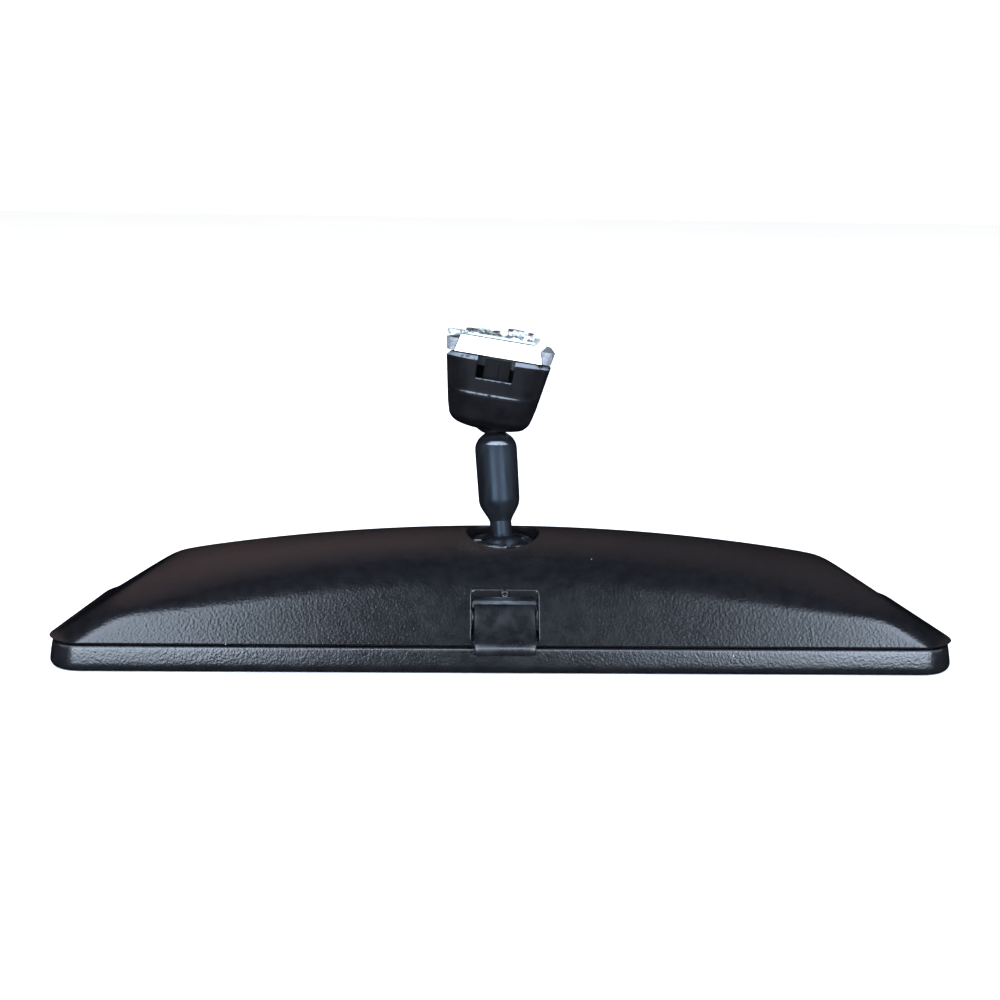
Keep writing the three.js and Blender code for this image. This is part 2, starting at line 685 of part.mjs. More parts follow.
const FINISHES = {
  blackPlastic: { color: 0x24242a, roughness: 0.55, metalness: 0 },
  glossBlack: { color: 0x14161a, roughness: 0.28, metalness: 0 },
  nylon: { color: 0xd8d6cc, roughness: 0.5, metalness: 0 },
  zinc: { color: 0x9a9da3, roughness: 0.45, metalness: 0.9 },
  steel: { color: 0xb4b8bd, roughness: 0.3, metalness: 1 },
  springSteel: { color: 0x7d8288, roughness: 0.35, metalness: 1 },
  silver: { color: 0xdfe4e8, roughness: 0.04, metalness: 1 },
  backing: { color: 0x6d6a66, roughness: 0.8, metalness: 0 },
  button: { color: 0xf0f0ee, roughness: 0.4, metalness: 0.3 },
  film: { color: 0xb9c4bb, roughness: 0.6, metalness: 0 },
};

function node(name, solid, finish) {
  const material = new THREE.MeshStandardMaterial(FINISHES[finish]);
  const mesh = new THREE.Mesh(geometryOf(solid), material);
  mesh.name = name;
  return mesh;
}

function headPieces() {
  const group = new THREE.Group();
  group.add(
    node('rear_housing', rearHousing(), 'blackPlastic'),
    node('bezel_frame', bezelFrame(), 'blackPlastic'),
    node('prism_glass', prismGlass(), 'silver'),
    node('glass_backing', glassBacking(), 'backing'),
    node('toggle_base_plate', basePlate(), 'zinc'),
    node('lever_pivot_pin', plainPin(LEVER_PIVOT, LEVER_EAR.outer - CLEARANCE), 'steel'),
    node('bracket_hinge_pin', headedPin(BRACKET_HINGE, BRACKET_EAR.outer), 'steel'),
    node('detent_spring', detentSpring(), 'springSteel'),
    node('socket_carrier', socketCarrier(), 'zinc'),
    node('lower_ball_seat', lowerBallSeat(), 'nylon'),
    node('lower_seat_spring', waveWasher(SOCKET_FLOOR + 1.3, 3.4, 7.6), 'springSteel'),
    node('ball_collar', ballCollar(), 'glossBlack'),
    node('day_night_lever', dayNightLever(), 'glossBlack'),
  );
  SCREW_SPOTS.forEach(([x, y], i) => {
    const screw = node(`base_screw_${i + 1}`, baseScrew(), 'steel');
    screw.position.set(x, y, PLATE_Z);
    group.add(screw);
  });
  return group;
}

function armPieces() {
  const group = new THREE.Group();
  group.position.copy(LOWER_BALL);
  group.rotation.set(radians(-ARM_LEAN), radians(-ARM_SWAY), 0, 'XYZ');
  const upperBall = node('upper_ball', fullBall(UPPER_BALL_RADIUS), 'steel');
  upperBall.position.set(0, 0, ARM_LENGTH);
  group.add(
    node('lower_ball', fullBall(LOWER_BALL_RADIUS), 'steel'),
    node('lower_neck', lowerNeck(), 'glossBlack'),
    node('arm_sleeve', armSleeve(), 'glossBlack'),
    upperBall,
  );
  return group;
}

function mountPieces(upperCentre) {
  const group = new THREE.Group();
  group.position.copy(upperCentre);
  group.rotation.set(radians(MOUNT_PITCH), radians(MOUNT_ROLL), radians(MOUNT_YAW), 'ZXY');
  group.add(
    node('upper_ball_seat', upperBallSeat(), 'nylon'),
    node('upper_seat_spring', waveWasher(9.0, 3.4, 7.2), 'springSteel'),
    node('mount_channel', mountChannel(), 'zinc'),
    node('mount_shell', mountShell(), 'blackPlastic'),
    node('locking_spring', lockingSpring(), 'springSteel'),
    node('windscreen_button', windscreenButton(), 'button'),
    node('bonding_film', bondingFilm(), 'film'),
  );
  return group;
}

const arm = armPieces();
const upperCentre = new THREE.Vector3(0, 0, ARM_LENGTH)
  .applyEuler(arm.rotation)
  .add(LOWER_BALL);

const mirror = new THREE.Group();
mirror.add(headPieces(), arm, mountPieces(upperCentre));
mirror.position.set(0, (-LEVER_TIP - HALF_HEIGHT) / 2, 0);

export default mirror;
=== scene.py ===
"""Interior rear-view mirror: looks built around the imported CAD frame.

Metres, in the row frame: +Z points from the glass to the back cover, -Y is the lever's side,
+X runs along the mirror. Lengths below are written in millimetres and turned into metres by MM.
"""

import math

import bmesh
import bpy
import numpy as np
from mathutils import Matrix, Vector

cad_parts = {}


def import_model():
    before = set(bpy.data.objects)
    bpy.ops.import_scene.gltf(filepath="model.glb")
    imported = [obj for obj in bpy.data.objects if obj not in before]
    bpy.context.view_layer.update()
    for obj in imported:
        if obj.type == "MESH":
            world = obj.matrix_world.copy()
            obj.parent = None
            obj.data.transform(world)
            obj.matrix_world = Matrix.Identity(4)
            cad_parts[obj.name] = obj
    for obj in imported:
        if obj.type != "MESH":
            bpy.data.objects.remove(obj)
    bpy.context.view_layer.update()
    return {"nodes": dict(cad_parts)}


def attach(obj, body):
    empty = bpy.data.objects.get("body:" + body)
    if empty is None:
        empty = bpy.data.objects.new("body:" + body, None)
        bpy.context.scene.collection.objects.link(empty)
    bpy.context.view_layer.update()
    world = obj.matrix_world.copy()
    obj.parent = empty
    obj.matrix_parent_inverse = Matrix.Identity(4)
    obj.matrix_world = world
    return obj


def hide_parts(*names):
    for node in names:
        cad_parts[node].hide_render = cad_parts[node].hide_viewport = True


MM = 0.001

# ------------------------------------------------------------------ driving dimensions (mm)

HEAD_SHIFT = 1.7  # row y of the head's own zero

# Head form
HALF_LENGTH = 124.6
HALF_HEIGHT = 32.8
END_LEAN = 0.1425
LEAN_LEVEL = -22.0
LOWER_CORNER = 11.3
UPPER_CORNER = 14.0
LOWER_SLOPE = 1.39
UPPER_SLOPE = 2.5
END_SLOPE = 0.655
END_FOOT = 0.9  # height lost to the soft foot of the end slopes
END_FOOT_REACH = 1.4
CROWN_TOP = 32.8
CROWN_ARCH = 0.00093
RIDGE_Y = 2.9
CROWN_FALL = 7.54
CROWN_FALL_RELIEF = 0.00035
FALL_REACH = 22.0
CREST_SOFTNESS = 1.5
HOUSING_BASE = 8.6
GROOVE_DEPTH = 1.0

RECESS_HALF = 9.2
RECESS_BACK = -23.3
RECESS_FRONT = -32.15
RECESS_WALL_LOW = 19.2
RECESS_LOW = 9.0
RECESS_ROUND = 0.35
RECESS_COLUMN = 9.55  # the recess's sides before their edge is rounded
RECESS_ROW = -22.95  # and its back
HOLE_RADIUS = 10.3
HOLE_PATCH = 14.0

LEVER_HALF = 8.5
LEVER_EDGE = 0.5
LEVER_PIVOT = np.array([0, -20.5, 12.5])
STUB_HEIGHT = 20.4

# Ball joints: centres and axes in the row frame
LOWER_BALL = np.array([0.0, 1.7, 26.5])
UPPER_BALL = np.array([-2.860015, 12.973603, 65.815725])
ARM_AXES = np.array([
    [0.997564, 0.019227, 0.067054],
    [0.0, 0.961262, -0.275637],
    [-0.069756, 0.274966, 0.95892],
])
MOUNT_AXES = np.array([
    [0.981999, -0.127913, -0.138982],
    [0.121702, 0.991186, -0.052336],
    [0.144452, 0.034479, 0.988911],
])
HEAD_AXES = np.eye(3)
HEAD_ORIGIN = np.array([0.0, HEAD_SHIFT, 0.0])

LOWER_BALL_RADIUS = 6.8
UPPER_BALL_RADIUS = 7.0

# Mount, in its own frame about the upper ball's centre
SHELL_BOTTOM = -4.6
SHELL_TOP = 16.3
MOUNT_TOP = 21.3
MOUNT_HALF = 16.0
MOUNT_FRONT = -14.0
MOUNT_BACK = 14.0
HALF_TAPER = 4.6  # drawn in at the bottom, on each side
BACK_TAPER = 1.5
FRONT_TAPER = 1.2
BOTTOM_BOWL = 1.7  # how far the shell's lower edge has risen at its sides
CREASE_STEP = 0.75  # the belly stands proud of the face above its crease
NOTCH_HALF = 5.2
NOTCH_LOW = 10.2


# ------------------------------------------------------------------ mesh helpers

def to_row(points, origin=HEAD_ORIGIN, axes=HEAD_AXES):
    """Points of a local frame, in millimetres, as metres in the row frame."""
    return (np.asarray(points, float) @ axes + origin) * MM


def mesh_object(name, points, faces):
    mesh = bpy.data.meshes.new(name)
    mesh.from_pydata([tuple(p) for p in points], [], [tuple(map(int, f)) for f in faces])
    mesh.validate()
    made = bpy.data.objects.new(name, mesh)
    bpy.context.scene.collection.objects.link(made)
    return made


def soften(made, angle=38):
    mesh = made.data
    mesh.shade_smooth()
    mesh.set_sharp_from_angle(angle=math.radians(angle))


def fix_normals(made):
    bm = bmesh.new()
    bm.from_mesh(made.data)
    bmesh.ops.recalc_face_normals(bm, faces=bm.faces)
    bm.to_mesh(made.data)
    bm.free()


def apply_modifiers(made):
    bpy.context.view_layer.update()
    graph = bpy.context.evaluated_depsgraph_get()
    mesh = bpy.data.meshes.new_from_object(made.evaluated_get(graph))
    old = made.data
    made.modifiers.clear()
    made.data = mesh
    bpy.data.meshes.remove(old)


def subdivide(made, levels=1):
    modifier = made.modifiers.new("subdivide", "SUBSURF")
    modifier.levels = levels
    modifier.render_levels = levels


def bevel(made, width, segments=3, angle=35):
    modifier = made.modifiers.new("bevel", "BEVEL")
    modifier.width = width * MM
    modifier.segments = segments
    modifier.limit_method = "ANGLE"
    modifier.angle_limit = math.radians(angle)
    modifier.harden_normals = False


def join(pieces):
    bpy.ops.object.select_all(action="DESELECT")
    for piece in pieces:
        piece.select_set(True)
    bpy.context.view_layer.objects.active = pieces[0]
    bpy.ops.object.join()
    return pieces[0]


def lathe(name, profile, origin, axes, sides=96, closed=False):
    """Turned piece from [radius, z] pairs; an end on the axis is closed with a fan."""
    points = []
    rings = []
    for radius, z in profile:
        if radius < 1e-6:
            rings.append([len(points)])
            points.append((0, 0, z))
            continue
        rings.append(list(range(len(points), len(points) + sides)))
        for i in range(sides):
            angle = 2 * math.pi * i / sides
            points.append((radius * math.cos(angle), radius * math.sin(angle), z))
    faces = []
    pairs = list(zip(rings, rings[1:]))
    if closed:
        pairs.append((rings[-1], rings[0]))
    for low, high in pairs:
        for i in range(sides):
            j = (i + 1) % sides
            if len(low) == 1 and len(high) == 1:
                continue
            if len(low) == 1:
                faces.append((low[0], high[j], high[i]))
            elif len(high) == 1:
                faces.append((low[i], low[j], high[0]))
            else:
                faces.append((low[i], low[j], high[j], high[i]))
    made = mesh_object(name, to_row(points, origin, axes), faces)
    fix_normals(made)
    return made


def arc(radius, centre, start, stop, steps):
    """Points of a circle about (0, centre) in a turned profile; degrees above the equator."""
    return [(radius * math.cos(a), centre + radius * math.sin(a))
            for a in np.radians(np.linspace(start, stop, steps + 1))]


def rounded_profile(points, rounds=2, closed=False):
    """Corner cutting that keeps the ends of an open line."""
    line = [np.array(p, float) for p in points]
    for _ in range(rounds):
        out = [] if closed else [line[0]]
        last = len(line) if closed else len(line) - 1
        for i in range(last):
            a, b = line[i], line[(i + 1) % len(line)]
            out += [a * 0.75 + b * 0.25, a * 0.25 + b * 0.75]
        if not closed:
            out.append(line[-1])
        line = out
    return [tuple(p) for p in line]


def show(piece, body, slot, material, *nodes):
    """Rides on its body, takes its material, and stands for these CAD nodes; the slot is not used.
    """
    piece.data.materials.clear()
    piece.data.materials.append(material)
    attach(piece, body)
    if nodes:
        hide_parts(*nodes)
    return piece


# ------------------------------------------------------------------ the head's form

def reach(y, inset=0.0):
    return HALF_LENGTH - inset - END_LEAN * (y - LEAN_LEVEL)


def corner_gap(a, b, radius):
    inside = radius - np.hypot(np.maximum(radius - a, 0), np.maximum(radius - b, 0))
    return np.where((a < radius) & (b < radius), inside, np.minimum(a, b))


def farthest(inside, like, limit, rounds):
    """Largest value, point by point, that the test still finds inside; by bisection."""
    low = np.zeros_like(like)
    high = np.full_like(like, limit)
    for _ in range(rounds):
        middle = (low + high) / 2
        within = inside(middle)
        low = np.where(within, middle, low)
        high = np.where(within, high, middle)
    return low


def end_distance(rise):
    """Level distance from an end of the outline to where the end reaches a rise."""
    distance = np.linspace(0, 90, 1801)
    reached = END_SLOPE * distance - END_FOOT * (1 - np.exp(-distance / END_FOOT_REACH))
    return np.interp(rise, reached, distance)


def side_rise(x, y):
    """How far the sloping sides have risen above the base at a point of the plan."""
    def inside(rise):
        near = y + HALF_HEIGHT - rise / LOWER_SLOPE
        far = HALF_HEIGHT - y - rise / UPPER_SLOPE
        end = reach(y) - np.abs(x) - end_distance(rise)
        gap = np.minimum(corner_gap(near, end, LOWER_CORNER), corner_gap(far, end, UPPER_CORNER))
        return gap >= 0

    return farthest(inside, x, 50.0, 40)


def cover_height(x, y):
    x = np.asarray(x, float)
    y = np.asarray(y, float)
    side = HOUSING_BASE + side_rise(x, y)
    fall = CROWN_FALL - CROWN_FALL_RELIEF * x * x
    crown = CROWN_TOP - CROWN_ARCH * x * x - fall * ((y - RIDGE_Y) / FALL_REACH) ** 2
    return 0.5 * (side + crown - np.sqrt((side - crown) ** 2 + CREST_SOFTNESS ** 2))


NEAR_ROWS = [-32.8, -32.68, -32.45, -32.15, -31.7, -31.1, -30.3, -29.4, -28.4, -27.4, -26.6,
             -25.9, -25.2, -24.5, -23.8, RECESS_ROW, -22.3, -21.6, -20.8, -19.9, -18.9, -17.8,
             -16.5, -15.2]
FAR_ROWS = [15.4, 17.0, 18.6, 20.2, 21.8, 23.2, 24.4, 25.5, 26.5, 27.4, 28.3, 29.2, 30.0,
            30.7, 31.3, 31.8, 32.2, 32.5, 32.7, 32.8]
ROWS = NEAR_ROWS + list(np.linspace(-HOLE_PATCH, HOLE_PATCH, 17)) + FAR_ROWS
FIXED_COLUMNS = [0, 1.9, 3.8, 5.7, 7.6, RECESS_COLUMN, 10.8, 12.4, HOLE_PATCH]
END_COLUMNS = 74


def edge_x(y):
    """Half length of the head's outline at a level y."""
    lower = y + HALF_HEIGHT
    upper = HALF_HEIGHT - y
    drawn = 0.0
    if lower < LOWER_CORNER:
        drawn = LOWER_CORNER - math.sqrt(LOWER_CORNER ** 2 - (LOWER_CORNER - lower) ** 2)
    if upper < UPPER_CORNER:
        drawn = UPPER_CORNER - math.sqrt(UPPER_CORNER ** 2 - (UPPER_CORNER - upper) ** 2)
    return reach(y) - drawn


def edge_normal(y):
    """Outward direction in plan at the right-hand end of a level y."""
    lower = y + HALF_HEIGHT
    upper = HALF_HEIGHT - y
    if lower < LOWER_CORNER:
        down = 1 - lower / LOWER_CORNER
        return math.sqrt(max(1 - down * down, 0)), -down
    if upper < UPPER_CORNER:
        up = 1 - upper / UPPER_CORNER
        return math.sqrt(max(1 - up * up, 0)), up
    return 1.0, 0.0


def row_columns(y):
    span = edge_x(y) - HOLE_PATCH
    right = FIXED_COLUMNS[1:] + [HOLE_PATCH + span * i / END_COLUMNS
                                 for i in range(1, END_COLUMNS + 1)]
    return [-x for x in reversed(right)] + [0.0] + right


def outline_loop():
    """The head's outline, counter-clockwise: (x, y, outward x, outward y)."""
    near, far = ROWS[0], ROWS[-1]
    loop = [(x, near, 0.0, -1.0) for x in row_columns(near)]
    loop += [(edge_x(y), y, *edge_normal(y)) for y in ROWS[1:-1]]
    loop += [(x, far, 0.0, 1.0) for x in reversed(row_columns(far))]
    loop += [(-edge_x(y), y, -edge_normal(y)[0], edge_normal(y)[1])
             for y in reversed(ROWS[1:-1])]
    return loop


def section_faces(loops, count, closed):
    """Quads between neighbouring loops of equally many points."""
    faces = []
    pairs = list(zip(range(loops - 1), range(1, loops)))
    if closed:
        pairs.append((loops - 1, 0))
    for a, b in pairs:
        for i in range(count):
            j = (i + 1) % count
            faces.append((a * count + i, a * count + j, b * count + j, b * count + i))
    return faces


def build_housing():
    """Back cover as one grid of quads, opened for the ball joint and for the lever."""
    points = []
    grid = []
    for y in ROWS:
        xs = row_columns(y)
        zs = cover_height(xs, [y] * len(xs))
        grid.append(list(range(len(points), len(points) + len(xs))))
        points += [(x, y, z) for x, z in zip(xs, zs)]
    columns = len(grid[0])
    middle = columns // 2
    patch = len(FIXED_COLUMNS) - 1
    recess = FIXED_COLUMNS.index(RECESS_COLUMN)
    row_of = {round(y, 3): i for i, y in enumerate(ROWS)}
    hole_rows = (row_of[-HOLE_PATCH], row_of[HOLE_PATCH])
    recess_rows = (row_of[RECESS_FRONT], row_of[RECESS_ROW])
    faces = []
    for j in range(len(ROWS) - 1):
        for i in range(columns - 1):
            in_hole = (hole_rows[0] <= j < hole_rows[1]
                       and middle - patch <= i < middle + patch)
            in_recess = (recess_rows[0] <= j < recess_rows[1]
                         and middle - recess <= i < middle + recess)
            if not in_hole and not in_recess:
                faces.append((grid[j][i], grid[j][i + 1], grid[j + 1][i + 1], grid[j + 1][i]))

    def frame_loop(rows, half):
        low, high = rows
        left, right = middle - half, middle + half
        loop = [grid[low][i] for i in range(left, right + 1)]
        loop += [grid[j][right] for j in range(low + 1, high + 1)]
        loop += [grid[high][i] for i in range(right - 1, left - 1, -1)]
        loop += [grid[j][left] for j in range(high - 1, low, -1)]
        return loop

    def ring(previous, made):
        start = len(points)
        points.extend(made)
        current = list(range(start, start + len(made)))
        count = len(made)
        for i in range(count):
            k = (i + 1) % count
            faces.append((previous[i], previous[k], current[k], current[i]))
        return current

    # Patch of rings from the square frame to the round opening, then down inside it.
    square = frame_loop(hole_rows, patch)
    corners = np.array([points[k] for k in square])
    angles = np.arctan2(corners[:, 1], corners[:, 0])
    lip = HOLE_RADIUS + 0.5
    circle = np.stack([lip * np.cos(angles), lip * np.sin(angles)], 1)
    previous = square
    for t in (0.25, 0.5, 0.75, 1.0):
        plan = corners[:, :2] * (1 - t) + circle * t
        heights = cover_height(plan[:, 0], plan[:, 1])
        previous = ring(previous, [(*p, z) for p, z in zip(plan, heights)])
    for radius, drop in ((10.42, 0.07), (10.3, 0.35), (10.3, 2.0), (10.3, 5.0)):
        plan = np.stack([radius * np.cos(angles), radius * np.sin(angles)], 1)
        level = heights - drop
        previous = ring(previous, [(*p, z) for p, z in zip(plan, level)])

    # The lever's recess: rounded top edge, then walls.
    opening = frame_loop(recess_rows, recess)
    rim = np.array([points[k] for k in opening])
    back = rim[:, 1] > RECESS_BACK
    half = RECESS_HALF + RECESS_ROUND

    def drawn_in(step, level):
        x = np.where(np.abs(rim[:, 0]) > half - 0.01, np.sign(rim[:, 0]) * (half - step),
                     rim[:, 0] * (half - step) / half)
        y = np.where(back, rim[:, 1] - step, rim[:, 1])
        return [(a, b, c) for a, b, c in zip(x, y, level)]

    previous = ring(opening, drawn_in(0.12, rim[:, 2] - 0.03))
    previous = ring(previous, drawn_in(0.3, rim[:, 2] - 0.14))
    previous = ring(previous, drawn_in(0.35, rim[:, 2] - 0.4))
    floor = np.where(back, RECESS_WALL_LOW, RECESS_LOW)
    floor = np.minimum(floor, rim[:, 2] - 0.5)
    previous = ring(previous, drawn_in(0.35, floor + 0.3))
    previous = ring(previous, drawn_in(0.35, floor))
    under = [(x, y + (1.6 if b else 0), z) for (x, y, z), b in zip(drawn_in(0.35, floor), back)]
    ring(previous, under)

    # Down round the outline: the edge, the groove and the flange behind it.
    loop = outline_loop()
    edge = list(grid[0])
    edge += [grid[j][-1] for j in range(1, len(ROWS) - 1)]
    edge += list(reversed(grid[-1]))
    edge += [grid[j][0] for j in range(len(ROWS) - 2, 0, -1)]
    previous = edge
    for inset, z in ((0.1, 8.5), (0.3, 8.45), (GROOVE_DEPTH - 0.05, 8.45), (GROOVE_DEPTH, 8.3),
                     (GROOVE_DEPTH, 7.6), (2.3, 7.5)):
        previous = ring(previous, [(x - nx * inset, y - ny * inset, z)
                                   for x, y, nx, ny in loop])
    cover = mesh_object("back_cover", to_row(points), faces)
    bm = bmesh.new()
    bm.from_mesh(cover.data)
    bmesh.ops.recalc_face_normals(bm, faces=bm.faces)
    top = max(bm.faces, key=lambda f: f.calc_center_median().z)
    if top.normal.z < 0:
        bmesh.ops.reverse_faces(bm, faces=bm.faces)
    bm.to_mesh(cover.data)
    bm.free()
    subdivide(cover, 1)
    apply_modifiers(cover)
    soften(cover, 50)
    return cover


def build_stop_stub():
    """Small hollow stub on the recess wall, above the lever."""
    axes = np.array([[1, 0, 0], [0, 0, 1], [0, -1, 0]], float)
    origin = HEAD_ORIGIN + np.array([0, RECESS_BACK, STUB_HEIGHT])
    profile = [(1.0, -0.8), (1.0, 1.0), (0.9, 1.15), (0.7, 1.2), (0.5, 1.15), (0.42, 1.0),
               (0.42, 0.3), (0, 0.3)]
    return lathe("recess_stub", profile, origin, axes, sides=40)


BEZEL_SECTION = [
    (3.6, 1.55), (3.6, 0.5), (3.45, 0.2), (3.1, 0.05), (2.5, 0.0), (1.8, 0.02), (1.2, 0.16),
    (0.68, 0.46), (0.3, 0.92), (0.08, 1.4), (0.0, 1.9), (0.1, 2.9), (0.42, 4.8), (0.7, 6.4),
    (0.84, 7.0), (1.1, 7.34), (1.35, 7.4), (1.6, 7.4), (1.9, 7.4), (2.0, 7.3), (2.0, 4.0),
    (2.0, 2.0), (2.1, 1.7), (2.4, 1.6), (3.3, 1.6),
]


def build_bezel():
    loop = outline_loop()
    points = []
    for inset, z in BEZEL_SECTION:
        points += [(x - nx * inset, y - ny * inset, z) for x, y, nx, ny in loop]
    bezel = mesh_object("bezel", to_row(points),
                        section_faces(len(BEZEL_SECTION), len(loop), closed=True))
    fix_normals(bezel)
    subdivide(bezel, 1)
    apply_modifiers(bezel)
    soften(bezel, 60)
    return bezel


LEVER_PROFILE = [
    (-24.3, 17.6), (-29.2, 12.9), (-33.2, 10.2), (-35.4, 9.7), (-36.2, 8.4), (-36.2, 6.9),
    (-35.6, 6.3), (-34.7, 6.4), (-34.4, 7.8), (-33.5, 9.0), (-31.4, 9.9), (-27.0, 11.6),
    (-22.0, 10.6), (-20.5, 13.5), (-22.5, 16.9),
]


def build_lever():
    """Blade from the hub over the rim to the finger lip, and the hub it turns on."""
    side = rounded_profile(LEVER_PROFILE, rounds=2, closed=True)
    count = len(side)
    stations = np.linspace(-LEVER_HALF, LEVER_HALF, 9)
    points = []
    for x in stations:
        for y, z in side:
            tip = max(0.0, (-33.5 - y) / 2.7)
            points.append((x * (1 - 0.022 * tip), y, z))
    faces = section_faces(len(stations), count, closed=False)
    last = (len(stations) - 1) * count
    faces.append(tuple(range(count - 1, -1, -1)))
    faces.append(tuple(range(last, last + count)))
    blade = mesh_object("lever_blade", to_row(points), faces)
    fix_normals(blade)
    bevel(blade, LEVER_EDGE, segments=3, angle=50)
    apply_modifiers(blade)
    axes = np.array([[0, 1, 0], [0, 0, 1], [1, 0, 0]], float)
    hub = lathe("lever_hub", [(1.8, -8.2), (3.0, -8.2), (3.2, -8.0), (3.2, 8.0), (3.0, 8.2),
                              (1.8, 8.2)],
                HEAD_ORIGIN + LEVER_PIVOT, axes, sides=48, closed=True)
    lever = join([blade, hub])
    soften(lever, 42)
    return lever


def build_collar():
    """Slotted ring round the lower ball: four shallow notches in its top face."""
    sides = 240
    slot_half = math.radians(9)
    profile = [(8.7, 27.8), (8.7, 29.6), (8.62, 29.95), (8.35, 30.2), (8.0, 30.28),
               (7.3, 30.3), (6.7, 30.26), (6.25, 30.1), (6.02, 29.8), (5.95, 29.3),
               (6.2, 28.6), (6.55, 27.8)]
    points = []
    for radius, z in profile:
        for i in range(sides):
            angle = 2 * math.pi * i / sides
            off = min(abs((angle - math.radians(15 + 90 * k) + math.pi) % (2 * math.pi)
                          - math.pi) for k in range(4))
            depth = 0.9 * min(max((slot_half - off) / math.radians(1.5), 0), 1)
            drop = depth if z > 29.0 else 0.0
            points.append((radius * math.cos(angle), radius * math.sin(angle), z - drop))
    collar = mesh_object("ball_collar_ring", to_row(points),
                         section_faces(len(profile), sides, closed=True))
    fix_normals(collar)
    soften(collar, 40)
    return collar


def build_lower_ball():
    ball = lathe("lower_ball_stud", arc(LOWER_BALL_RADIUS, 0, -90, 28, 34)[1:]
                 + [(5.6, 3.55), (5.0, 3.85), (4.4, 4.0), (3.3, 4.05)],
                 LOWER_BALL, ARM_AXES, sides=96)
    soften(ball, 60)
    return ball


def build_neck():
    profile = [(3.5, 4.0), (3.3, 4.15), (3.18, 4.5), (3.15, 5.2), (3.15, 7.2), (3.15, 8.7),
               (0, 8.7)]
    neck = lathe("arm_neck", profile, LOWER_BALL, ARM_AXES, sides=96)
    soften(neck, 50)
    return neck


def build_sleeve():
    """Sleeve of the arm: flares from the neck, runs straight, closes in below the ball."""
    outer = rounded_profile([
        (3.2, 8.8), (3.35, 9.3), (3.7, 10.0), (4.5, 11.3), (5.35, 12.8), (5.85, 14.1),
        (5.97, 15.4), (6.0, 19), (6.05, 23), (6.1, 27), (6.12, 30.0), (6.0, 31.0), (5.6, 32.0),
        (4.9, 33.1), (4.0, 33.9), (3.25, 34.4),
    ], rounds=2)
    profile = [(0, 8.8)] + outer + [(0, 34.5)]
    sleeve = lathe("arm_sleeve_turned", profile, LOWER_BALL, ARM_AXES, sides=128)
    soften(sleeve, 50)
    return sleeve


def build_upper_ball():
    ball = lathe("upper_ball_stud",
                 [(3.05, -6.9)] + arc(UPPER_BALL_RADIUS, 0, -64, 90, 40)[:-1]
                 + [(0, UPPER_BALL_RADIUS)],
                 UPPER_BALL, ARM_AXES, sides=96)
    soften(ball, 60)
    return ball


# ------------------------------------------------------------------ windscreen mount

def mount_rise(z):
    return (z - SHELL_BOTTOM) / (MOUNT_TOP - SHELL_BOTTOM)


def body_radius(z, angle, inset):
    """Distance from the mount's axis to its tapered body."""
    rise = mount_rise(z)
    half = MOUNT_HALF - HALF_TAPER * (1 - rise) - inset
    back = MOUNT_BACK - BACK_TAPER * (1 - rise) - inset
    front = MOUNT_FRONT + FRONT_TAPER * (1 - rise) + inset
    slope = 3.2 / (back - front)

    def inside(radius):
        x = np.abs(radius * np.cos(angle))
        y = radius * np.sin(angle)
        side = half - slope * (y - front) - x
        gap = np.minimum(corner_gap(y - front, side, 2.2), corner_gap(back - y, side, 5.0))
        return gap >= 0

    return farthest(inside, angle, 40.0, 36)


def crease_level(x):
    """Height of the smile-shaped crease across the belly: level, then up at both ends."""
    return 6.0 + 4.6 * (np.maximum(np.abs(x) - 10.2, 0) / 3.2) ** 2


def belly_reach(z, x):
    low = np.interp(z, [SHELL_BOTTOM, SHELL_BOTTOM + 1.4, -1.5, 3.6, 5.4, SHELL_TOP],
                    [0.2, 1.5, 3.2, 4.9, 5.3, 5.5])
    return low + CREASE_STEP / (1 + np.exp((z - crease_level(x)) / 0.14))


def belly_radius(z, angle):
    """Distance from the mount's axis to its bellied front."""
    half = MOUNT_HALF - HALF_TAPER * (1 - mount_rise(z)) - 0.4

    def inside(radius):
        x = radius * np.cos(angle)
        y = radius * np.sin(angle)
        across = np.clip(np.abs(x) / half, 0, 1)
        front = MOUNT_FRONT + 2 - belly_reach(z, x) * (1 - across ** 4)
        return (y > front) & (np.abs(x) < half) & (y < 0)

    return farthest(inside, angle, 40.0, 36)


def round_points(radius, angles, z):
    return np.stack([radius * np.cos(angles), radius * np.sin(angles),
                     np.full_like(angles, z)], 1)


def shell_ring(z, inset, angles):
    body = body_radius(z, angles, inset)
    belly = belly_radius(z, angles) - inset
    soft = 0.5
    radius = 0.5 * (body + belly + np.sqrt((body - belly) ** 2 + soft * soft)) - soft * 0.1
    front = np.sin(angles) < 0
    radius = np.where(front, radius, body)
    return round_points(radius, angles, z)


